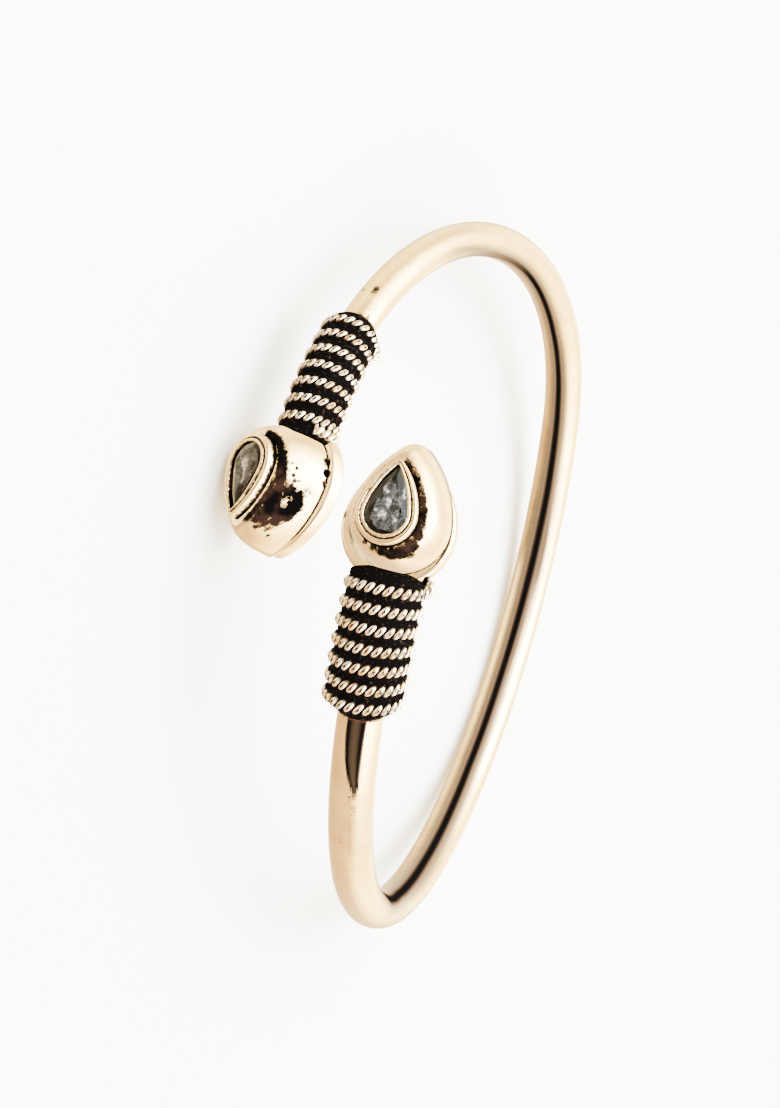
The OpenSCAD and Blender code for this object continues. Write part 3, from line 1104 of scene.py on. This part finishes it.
# %% Stones
# A mark: its place along and across, its half lengths, and how much lighter it is
# Lighter marks are painted highlights and glints, darker ones painted dark reflections.
stone_marks = {
    "right": (0.45, 1.04, [
        (3.4, 0.0, 0.9, 0.4, -0.25), (2.9, -0.4, 0.8, 0.3, -0.45), (2.0, -0.68, 0.7, 0.22, -0.5),
        (2.3, -0.98, 0.8, 0.17, 0.4), (1.7, -1.15, 0.25, 0.2, 0.4), (2.1, 0.6, 0.4, 0.2, 0.3),
        (1.75, 0.3, 0.25, 0.2, 0.35), (1.75, 1.0, 0.35, 0.15, 0.2), (1.3, 0.7, 0.3, 0.3, -0.25),
        (0.9, 1.1, 0.25, 0.15, -0.4), (0.95, -0.05, 0.5, 0.25, 0.35), (-0.25, 0.3, 0.5, 0.3, 0.35),
        (0.1, 0.8, 0.3, 0.2, 0.25), (-0.64, 0.28, 0.15, 0.15, -0.4), (-0.4, -0.9, 0.25, 0.25, 0.2),
        (0.5, -1.26, 0.35, 0.1, -0.4), (0.4, -0.6, 0.6, 0.2, -0.1), (0.0, 1.55, 1.7, 0.42, -1.0),
        (1.9, 1.15, 1.0, 0.36, -1.0), (-1.4, 1.2, 0.6, 0.45, -0.9), (-1.75, 0.2, 0.3, 0.9, -0.8),
    ]),
    "left": (0.40, 1.4, [
        (0.3, 0.1, 1.0, 0.35, 0.3), (0.9, -0.1, 0.7, 0.15, -0.25), (0.0, -0.3, 0.6, 0.2, 0.3),
        (1.5, 0.3, 0.5, 0.2, 0.25), (-0.9, 0.2, 0.4, 0.5, -0.1), (0.9, -1.5, 0.15, 0.2, 0.6),
        (2.6, 0.2, 0.8, 0.5, -0.25), (0.4, 0.9, 0.7, 0.2, -0.2), (-0.2, -1.1, 0.9, 0.25, -0.3),
    ]),
}


def mark_place(piece, name):
    """Stores every point's own millimetres, which a material can read by name."""
    layer = piece.data.attributes.new(name, "FLOAT_VECTOR", "POINT")
    layer.data.foreach_set("vector", [part for v in piece.data.vertices for part in v.co])


for side, seat in seats.items():
    stone = cut_stone()
    rim = [share(v.co.z, seat_h + table_h, seat_h + girdle_h) for v in stone.data.vertices]
    mark_place(stone, "own_place")
    mark_points(stone, "rim", rim)
    lay_down(stone, lying @ seat @ in_mm)
    material = stone_with_painted_reflections(side + "_painted_reflection_stone", *stone_marks[side])
    finish_piece(stone, side + "_cut_stone", material, "cut_stone", side + "_stone")

# %% [markdown]
# Polished metal shows its surroundings, and so does the photograph: white above, warm walls at
# the sides and behind, a dark shape on the right of the front, and a small dark round one where
# the camera stands. So the sky is painted as a tent. A colour ramp for each part of it runs from
# straight down to straight up, and the compass direction blends the ramps. A stop gives its
# height in degrees and its light.

# %% Studio tent
sky_strength = 22.0
white = (sky_strength, sky_strength, sky_strength)
tent_light = {
    "front_left": [
        (-60, (6, 5.4, 3.3)), (-45, (4, 3.4, 1.9)), (-30, (2.8, 2.3, 1.5)), (-10, (2.6, 2.1, 1.4)),
        (3, (2.6, 2.1, 1.4)), (12, (3.4, 2.9, 2.0)), (22, (6, 5.6, 3.5)), (32, (12, 11.5, 7.8)),
        (45, white),
    ],
    "front_right": [
        (-60, (1.4, 1.2, 0.8)), (-30, (2.0, 1.6, 1.1)), (-14, (1.5, 1.2, 0.85)),
        (-4, (0.5, 0.42, 0.34)), (6, (0.08, 0.07, 0.06)), (20, (0.24, 0.23, 0.22)),
        (34, (0.55, 0.53, 0.45)), (50, (0.9, 0.85, 0.7)), (62, (5, 4.6, 3.6)), (74, white),
    ],
    "left": [
        (-60, (4.6, 4, 2.2)), (-35, (4.4, 3.7, 1.8)), (-22, (6, 5.1, 2.5)), (0, (4.8, 4, 1.9)),
        (12, (4.6, 3.9, 2)), (20, (8, 7.3, 4.2)), (30, (13, 12.5, 8.2)), (45, (21, 20.5, 19)),
        (60, white),
    ],
    "right": [
        (-60, (2.2, 1.6, 0.85)), (-35, (2.6, 1.9, 1.0)), (-8, (3.2, 2.4, 1.3)),
        (3, (2.8, 2.1, 1.15)), (12, (4.2, 3.4, 1.6)), (20, (7, 6.3, 3.4)), (30, (11, 10.5, 6.6)),
        (45, (20, 19.5, 18)), (60, white),
    ],
    "behind": [
        (-60, (2.2, 1.6, 0.85)), (-35, (2.6, 1.9, 1.0)), (-15, (3.4, 2.6, 1.5)), (-5, (7, 5.7, 2.5)),
        (5, (11, 9.4, 4.4)), (22, (8, 6.8, 3.1)), (35, (10, 9, 4.7)), (48, (15, 14.5, 12)),
        (62, white),
    ],
}
spot_azimuth, spot_elevation, spot_full, spot_edge = degrees(-7.5, 26, 14, 24)
spot_light = (0.006, 0.005, 0.005, 1)


def sky_ramp(paint, height, stops):
    """Light from straight down to straight up. Colours are shares of the sky's strength."""
    lit = [
        ((math.sin(math.radians(up)) + 1) / 2, [part / sky_strength for part in light])
        for up, light in stops
    ]
    return paint.ramp((height + 1) / 2, lit)


def studio_sky():
    world = bpy.data.worlds.new("studio_tent")
    bpy.context.scene.world = world
    paint = Paint(world, "Background")
    x, y, z = paint.parts(paint.node("ShaderNodeTexCoord", {}, {}, "Generated"))
    flat = (1 - z * z).most(0.0001).root()
    east, north = x / flat, y / flat
    walls = {part: sky_ramp(paint, z, stops) for part, stops in tent_light.items()}
    front = paint.blend(east.step(0.15, 0.5), walls["front_left"], walls["front_right"])
    sides = paint.blend(east.step(-0.4, 0.4), walls["left"], walls["right"])
    ahead = from_front(spot_azimuth, 0)
    facing = north * ahead.y + east * ahead.x
    round_about = paint.blend((0 - facing).step(0.35, 0.9), sides, walls["behind"])
    tent = paint.blend(facing.step(0.3, 0.6), round_about, front)
    middle = from_front(spot_azimuth, spot_elevation)
    nearness = x * middle.x + y * middle.y + z * middle.z
    spot = nearness.step(math.cos(spot_edge), math.cos(spot_full))
    paint.finish(color=paint.blend(spot, tent, spot_light), strength=sky_strength)


studio_sky()
print("tent of", len(tent_light), "colour ramps")

# %% [markdown]
# The floor is a plain pale sheet. It is kept out of reflections, because in the photograph the
# metal's undersides mirror something warm and not the white ground. One soft panel above adds
# a faint shadow, which ties the bangle to the floor.

# %% Floor and light
floor_size, floor_gap = 6, 0.05 * mm
floor_cloud_size = 60 * mm
floor_pale, floor_paler = (0.68, 0.68, 0.675, 1), (0.70, 0.70, 0.695, 1)
panel_direction, panel_distance, panel_size, panel_watts = (-0.3, 0.2, 1.0), 0.6, 0.4, 12


def pale_floor():
    nothing_selected()
    bpy.ops.mesh.primitive_plane_add(size=floor_size, location=(0, 0, -floor_gap))
    floor = bpy.context.object
    floor.name = "floor"
    paint = Paint(bpy.data.materials.new("pale_floor"))
    shade = paint.blend(paint.noise(floor_cloud_size, 2.0, 0.5), floor_pale, floor_paler)
    floor.data.materials.append(paint.finish(base_color=shade, roughness=0.7, specular_ior_level=0.2))
    floor.visible_glossy = False


def overhead_panel():
    """A soft square light that faces the hoop."""
    up = Vector(panel_direction).normalized()
    bpy.ops.object.light_add(type="AREA", location=up * panel_distance)
    light = bpy.context.object
    light.name = "overhead"
    light.rotation_euler = up.to_track_quat("Z", "Y").to_euler()
    light.data.shape = "SQUARE"
    light.data.size = panel_size
    light.data.energy = panel_watts


pale_floor()
overhead_panel()
print("floor and one panel")
